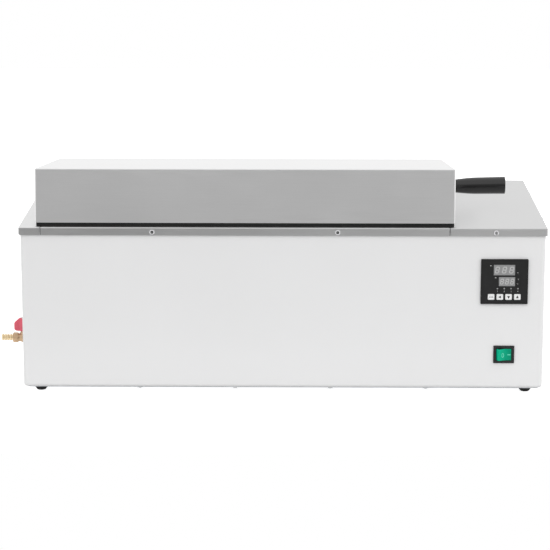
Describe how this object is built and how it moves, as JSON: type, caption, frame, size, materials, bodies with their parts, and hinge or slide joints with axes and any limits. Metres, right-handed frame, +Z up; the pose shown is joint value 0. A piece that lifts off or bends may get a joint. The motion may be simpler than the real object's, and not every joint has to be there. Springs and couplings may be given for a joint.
{
  "type": "laboratory water bath",
  "caption": "Long bench-top water bath in a white casing with a steel deck, a wedge-shaped lid with a side grip, a digital controller, a green rocker switch and a drain tap.",
  "frame": {"origin": "on the bench under the middle of the outline, between the hose tail's tip and the right-hand screw heads, and midway between the front and rear screw heads", "axes": "+X to the user's right, along the long side; +Y from the user towards the back; +Z up"},
  "size_m": [0.8604, 0.4064, 0.3518],
  "materials": {
    "white_enamel": "satin",
    "zinc_sheet": "satin",
    "deck_steel": "satin",
    "lid_steel": "satin",
    "tank_steel": "satin",
    "tray_steel": "satin",
    "heater_steel": "satin",
    "hinge_steel": "satin",
    "bright_screws": "gloss",
    "black_rubber": "matte",
    "grip_moulding": "satin",
    "valve_brass": "satin",
    "plated_ball": "gloss",
    "valve_red": "satin",
    "panel_black": "satin",
    "housing_black": "matte",
    "display_grey": "gloss",
    "key_white": "satin",
    "lamp_lens": "gloss",
    "rocker_green": "gloss",
    "board_green": "satin",
    "contact_metal": "satin",
    "relay_moulding": "matte",
    "terminal_moulding": "matte",
    "sink_aluminium": "satin",
    "glass_wool": "matte"
  },
  "bodies": {
    "base": {"base_plate": "zinc_sheet", "base_screws": "bright_screws", "case_shell": "white_enamel", "controller_board": "board_green", "controller_housing": "housing_black", "controller_panel": "panel_black", "deck_screws": "bright_screws", "divider_panel": "zinc_sheet", "drain_locknuts": "valve_brass", "drain_pipe": "valve_brass", "false_floor": "tray_steel", "foot_front_left": "black_rubber", "foot_front_right": "black_rubber", "foot_rear_left": "black_rubber", "foot_rear_right": "black_rubber", "foot_screws": "bright_screws", "heater_rest": "tank_steel", "heater_tube": "heater_steel", "hinge_deck_screws": "bright_screws", "hinge_left_deck_leaf": "hinge_steel", "hinge_pins": "bright_screws", "hinge_right_deck_leaf": "hinge_steel", "hose_barb": "valve_brass", "indicator_lamps": "lamp_lens", "inlet_pins": "contact_metal", "key_switches": "relay_moulding", "left_end_cover": "deck_steel", "lower_display": "display_grey", "power_inlet": "housing_black", "probe_sheath": "heater_steel", "relay": "relay_moulding", "relay_heat_sink": "sink_aluminium", "right_end_cover": "deck_steel", "switch_frame": "housing_black", "switch_terminals": "contact_metal", "tank": "tank_steel", "tank_insulation": "glass_wool", "tank_rim": "deck_steel", "terminal_block": "terminal_moulding", "upper_display": "display_grey", "valve_body": "valve_brass", "wall_fittings": "heater_steel"},
    "lid": {"lid_shell": "lid_steel", "lid_seal": "black_rubber", "lid_grip": "grip_moulding", "lid_grip_collar": "bright_screws", "lid_grip_stud": "bright_screws", "lid_grip_nut": "bright_screws", "hinge_left_lid_leaf": "hinge_steel", "hinge_right_lid_leaf": "hinge_steel", "hinge_rivets": "bright_screws"},
    "drain_handle": {"valve_ball": "plated_ball", "valve_stem": "valve_brass", "valve_handle": "valve_red", "valve_handle_screw": "bright_screws"},
    "rocker": {"switch_rocker": "rocker_green"},
    "key_set": {"key_set": "key_white"},
    "key_shift": {"key_shift": "key_white"},
    "key_down": {"key_down": "key_white"},
    "key_up": {"key_up": "key_white"}
  },
  "joints": [
    {"name": "lid_hinge", "type": "hinge", "parent": "base", "child": "lid", "pos_m": [-0.03225, 0.1685, 0.2678], "axis": [-1, 0, 0], "range_deg": [0, 95]},
    {"name": "drain_turn", "type": "hinge", "parent": "base", "child": "drain_handle", "pos_m": [-0.39525, -0.025, 0.046], "axis": [0, 0, 1], "range_deg": [0, 90]},
    {"name": "rocker_tilt", "type": "hinge", "parent": "base", "child": "rocker", "pos_m": [0.36475, -0.1945, 0.0661], "axis": [0, 0, -1], "range_deg": [0, 28]},
    {"name": "key_set_press", "type": "slide", "parent": "base", "child": "key_set", "axis": [0, 1, 0], "range_m": [0, 0.0008], "stiffness_N_per_m": 500},
    {"name": "key_shift_press", "type": "slide", "parent": "base", "child": "key_shift", "axis": [0, 1, 0], "range_m": [0, 0.0008], "stiffness_N_per_m": 500},
    {"name": "key_down_press", "type": "slide", "parent": "base", "child": "key_down", "axis": [0, 1, 0], "range_m": [0, 0.0008], "stiffness_N_per_m": 500},
    {"name": "key_up_press", "type": "slide", "parent": "base", "child": "key_up", "axis": [0, 1, 0], "range_m": [0, 0.0008], "stiffness_N_per_m": 500}
  ]
}
